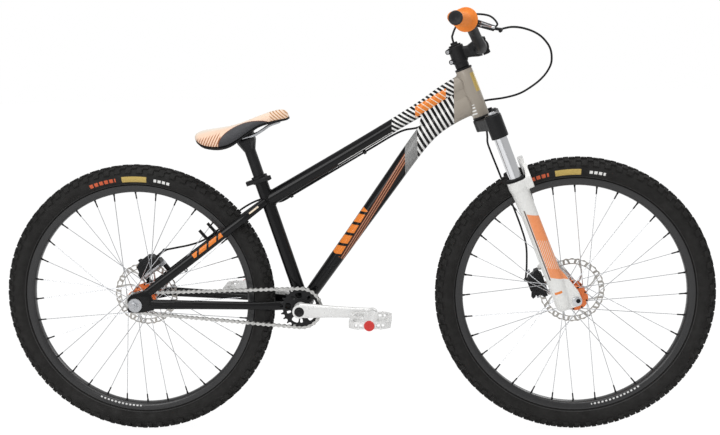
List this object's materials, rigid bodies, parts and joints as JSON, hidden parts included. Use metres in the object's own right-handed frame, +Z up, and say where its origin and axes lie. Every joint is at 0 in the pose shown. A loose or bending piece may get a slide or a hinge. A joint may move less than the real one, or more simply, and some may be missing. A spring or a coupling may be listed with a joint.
{
  "type": "dirt jump bike",
  "caption": "Hardtail dirt jump bicycle with low sloping frame, short-travel fork, riser bar, cable disc brakes and single-speed chain drive.",
  "frame": {"origin": "on the ground, at the centre of the bounding box's base, midway between the two wheel axles", "axes": "+X forward along the bike, +Y to the rider's left along the axles, +Z up"},
  "size_m": [1.7366, 0.6854, 1.0246],
  "materials": {
    "frame_black": "gloss",
    "part_black": "satin",
    "silver": "satin",
    "bright_silver": "polished",
    "steel": "satin",
    "tyre_black": "matt",
    "soft_black": "matt",
    "cable_black": "matt",
    "orange_metal": "gloss",
    "orange_rubber": "matt",
    "fork_white": "gloss",
    "saddle_cream": "matt",
    "saddle_black": "matt"
  },
  "bodies": {
    "frame": {"head_tube": "frame_black", "top_tube": "frame_black", "down_tube": "frame_black", "seat_tube": "frame_black", "bottom_bracket_shell": "frame_black", "bottom_bracket_bearings": "part_black", "chainstay_right": "frame_black", "chainstay_left": "frame_black", "seatstay_right": "frame_black", "seatstay_left": "frame_black", "seat_clamp": "part_black", "headset_cup_lower": "part_black", "headset_cup_upper": "part_black", "rear_axle": "part_black", "rear_brake_caliper": "part_black", "rear_brake_cable": "cable_black", "chain": "steel"},
    "steering": {"fork_crown": "part_black", "stanchion_right": "bright_silver", "stanchion_left": "bright_silver", "stem": "part_black", "stem_faceplate": "part_black", "stem_cap": "soft_black", "handlebar": "part_black", "grip_right": "orange_rubber", "grip_left": "orange_rubber", "brake_perch_right": "part_black", "brake_perch_left": "part_black", "front_brake_cable": "cable_black"},
    "fork_legs": {"fork_lowers": "fork_white", "dust_seal_right": "soft_black", "dust_seal_left": "soft_black", "front_axle": "silver", "front_brake_caliper": "part_black"},
    "front_wheel": {"front_tyre": "tyre_black", "front_rim": "part_black", "front_spokes": "steel", "front_hub": "orange_metal", "front_rotor": "steel"},
    "rear_wheel": {"rear_tyre": "tyre_black", "rear_rim": "part_black", "rear_spokes": "steel", "rear_hub": "orange_metal", "rear_rotor": "steel"},
    "cog": {"rear_cog": "steel"},
    "crankset": {"crank_spindle": "part_black", "crank_arm_right": "silver", "crank_arm_left": "silver", "chainring": "part_black"},
    "right_pedal": {"pedal_right": "silver"},
    "left_pedal": {"pedal_left": "silver"},
    "right_lever": {"brake_lever_right": "silver"},
    "left_lever": {"brake_lever_left": "silver"},
    "saddle": {"seatpost": "part_black", "saddle_rails": "part_black", "saddle_base": "saddle_black", "saddle_cushion": "saddle_cream"},
    "seat_release": {"seat_clamp_lever": "part_black"},
    "front_arm": {"front_caliper_arm": "part_black"},
    "rear_arm": {"rear_caliper_arm": "part_black"}
  },
  "joints": [
    {"name": "steering_turn", "type": "hinge", "parent": "frame", "child": "steering", "pos_m": [0.31245, 0, 0.77338], "axis": [-0.342, 0, 0.9397], "range_deg": [-90, 90], "deforming": ["rear_brake_cable"]},
    {"name": "fork_travel", "type": "slide", "parent": "steering", "child": "fork_legs", "axis": [-0.342, 0, 0.9397], "range_m": [0, 0.08], "stiffness_N_per_m": 6000, "springref_m": -0.012, "deforming": ["front_brake_cable"]},
    {"name": "front_wheel_turn", "type": "hinge", "parent": "fork_legs", "child": "front_wheel", "pos_m": [0.5323, 0, 0.336], "axis": [0, 1, 0], "continuous": true},
    {"name": "rear_wheel_turn", "type": "hinge", "parent": "frame", "child": "rear_wheel", "pos_m": [-0.5323, 0, 0.336], "axis": [0, 1, 0], "continuous": true},
    {"name": "crank_turn", "type": "hinge", "parent": "frame", "child": "crankset", "pos_m": [-0.12696, 0, 0.32], "axis": [0, 1, 0], "continuous": true, "deforming": ["chain"]},
    {"name": "cog_turn", "type": "hinge", "parent": "frame", "child": "cog", "pos_m": [-0.5323, 0, 0.336], "axis": [0, 1, 0], "continuous": true},
    {"name": "pedal_right_turn", "type": "hinge", "parent": "crankset", "child": "right_pedal", "pos_m": [0.04797, -0.15, 0.31511], "axis": [0, 1, 0], "continuous": true},
    {"name": "pedal_left_turn", "type": "hinge", "parent": "crankset", "child": "left_pedal", "pos_m": [-0.30189, 0.15, 0.32489], "axis": [0, 1, 0], "continuous": true},
    {"name": "brake_lever_right_pull", "type": "hinge", "parent": "steering", "child": "right_lever", "pos_m": [0.30778, -0.202, 0.98859], "axis": [0.2902, 0, 0.957], "range_deg": [0, 22], "stiffness_Nm_per_rad": 0.6, "springref_deg": -20.05},
    {"name": "brake_lever_left_pull", "type": "hinge", "parent": "steering", "child": "left_lever", "pos_m": [0.30778, 0.202, 0.98859], "axis": [-0.2902, 0, -0.957], "range_deg": [0, 22], "stiffness_Nm_per_rad": 0.6, "springref_deg": -20.05},
    {"name": "front_caliper_arm_turn", "type": "hinge", "parent": "fork_legs", "child": "front_arm", "pos_m": [0.44448, 0.063, 0.35214], "axis": [0, 1, 0], "range_deg": [0, 22]},
    {"name": "rear_caliper_arm_turn", "type": "hinge", "parent": "frame", "child": "rear_arm", "pos_m": [-0.5243, 0.067, 0.412], "axis": [0, -1, 0], "range_deg": [0, 22]},
    {"name": "seat_height", "type": "slide", "parent": "frame", "child": "saddle", "axis": [-0.2924, 0, 0.9563], "range_m": [-0.065, 0.06]},
    {"name": "seat_release_swing", "type": "hinge", "parent": "frame", "child": "seat_release", "pos_m": [-0.24923, -0.0154, 0.62038], "axis": [0.2924, 0, -0.9563], "range_deg": [0, 150]}
  ],
  "couplings": [
    {"joint": "cog_turn", "follows": "crank_turn", "ratio": 2},
    {"joint": "front_caliper_arm_turn", "follows": "brake_lever_left_pull", "ratio": 1},
    {"joint": "rear_caliper_arm_turn", "follows": "brake_lever_right_pull", "ratio": 1}
  ]
}
